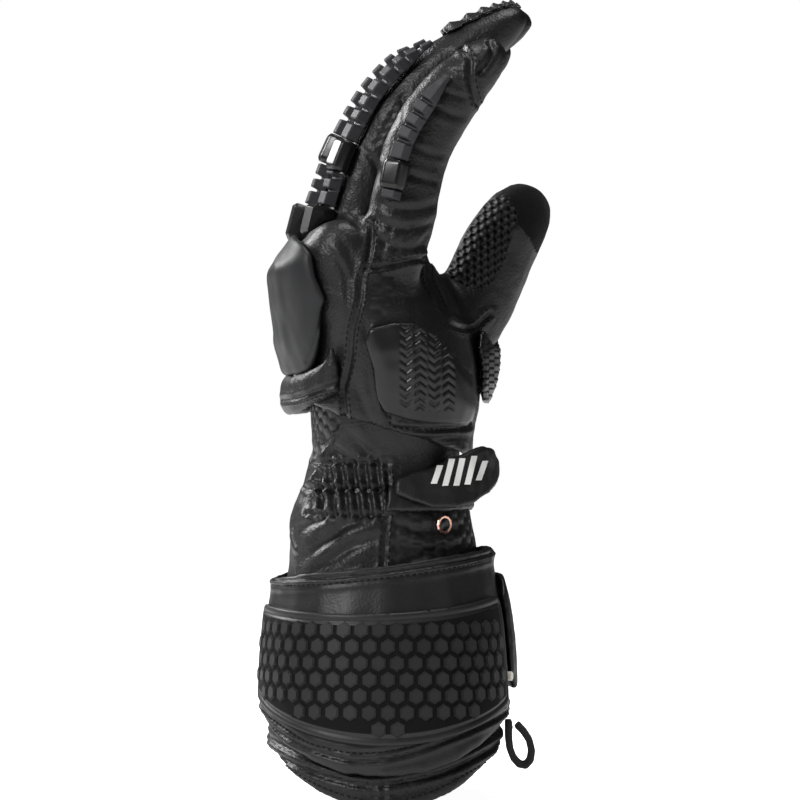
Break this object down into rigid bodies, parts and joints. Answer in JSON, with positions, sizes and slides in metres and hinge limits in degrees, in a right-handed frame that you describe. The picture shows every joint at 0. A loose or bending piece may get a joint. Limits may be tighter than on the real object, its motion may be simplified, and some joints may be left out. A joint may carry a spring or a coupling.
{
  "type": "right-hand motorcycle gauntlet glove",
  "caption": "Right-hand leather motorcycle gauntlet with gently bent fingers, notched finger guards, knuckle shells, palm sliders and a hex-studded cuff.",
  "frame": {"origin": "middle of the cuff's mouth at the level of the hem's lowest point, where the hand goes in", "axes": "+Z along the fingers, +X out of the palm, +Y towards the thumb"},
  "size_m": [0.1121, 0.1178, 0.3041],
  "materials": {
    "leather": "black, pebbled, satin",
    "wrap_leather": "black, fine wrinkled grain, satin",
    "embossed_leather": "black with a fine hexagonal emboss, semi-matte",
    "piping": "black edge piping",
    "shell_rubber": "dark grey, matte, smooth",
    "armour_rubber": "black, matte, raised hexagons",
    "slider_rubber": "black, semi-gloss, chevron tread",
    "guard_rubber": "dark grey, matte, notched",
    "gloss_plastic": "glossy black",
    "stretch_mesh": "black honeycomb stretch mesh",
    "webbing": "black woven webbing",
    "ring_metal": "copper-coloured plating",
    "reflective_stud": "cream"
  },
  "bodies": {
    "root": {"cuff_armour": "armour_rubber", "cuff_bottom_piping": "piping", "cuff_flap": "wrap_leather", "cuff_top_piping": "piping", "cuff_wrap": "wrap_leather", "finger_link_index": "gloss_plastic", "finger_link_little": "gloss_plastic", "finger_link_middle": "gloss_plastic", "finger_link_ring": "gloss_plastic", "finger_stall_index": "leather", "finger_stall_little": "leather", "finger_stall_middle": "leather", "finger_stall_ring": "leather", "fingertip_ribs_index": "leather", "fingertip_ribs_middle": "leather", "fingertip_ribs_ring": "leather", "hand_hem": "piping", "hand_shell": "leather", "heel_slider": "slider_rubber", "hem_binding": "piping", "knuckle_cap_index": "gloss_plastic", "knuckle_cap_middle": "gloss_plastic", "knuckle_cap_ring": "gloss_plastic", "lower_guard_index": "guard_rubber", "lower_guard_little": "guard_rubber", "lower_guard_middle": "guard_rubber", "lower_guard_ring": "guard_rubber", "main_knuckle_shell": "shell_rubber", "outer_knuckle_shell": "shell_rubber", "pull_loop": "webbing", "reflective_stud": "reflective_stud", "strap_ring": "ring_metal", "thumb_mesh_panel": "stretch_mesh", "thumb_side_slider": "slider_rubber", "thumb_stall": "leather", "upper_guard_index": "guard_rubber", "upper_guard_little": "guard_rubber", "upper_guard_middle": "guard_rubber", "upper_guard_ring": "guard_rubber", "wrist_pad": "leather", "wrist_sleeve": "embossed_leather", "wrist_strap": "webbing", "wrist_tab": "wrap_leather"}
  },
  "joints": []
}
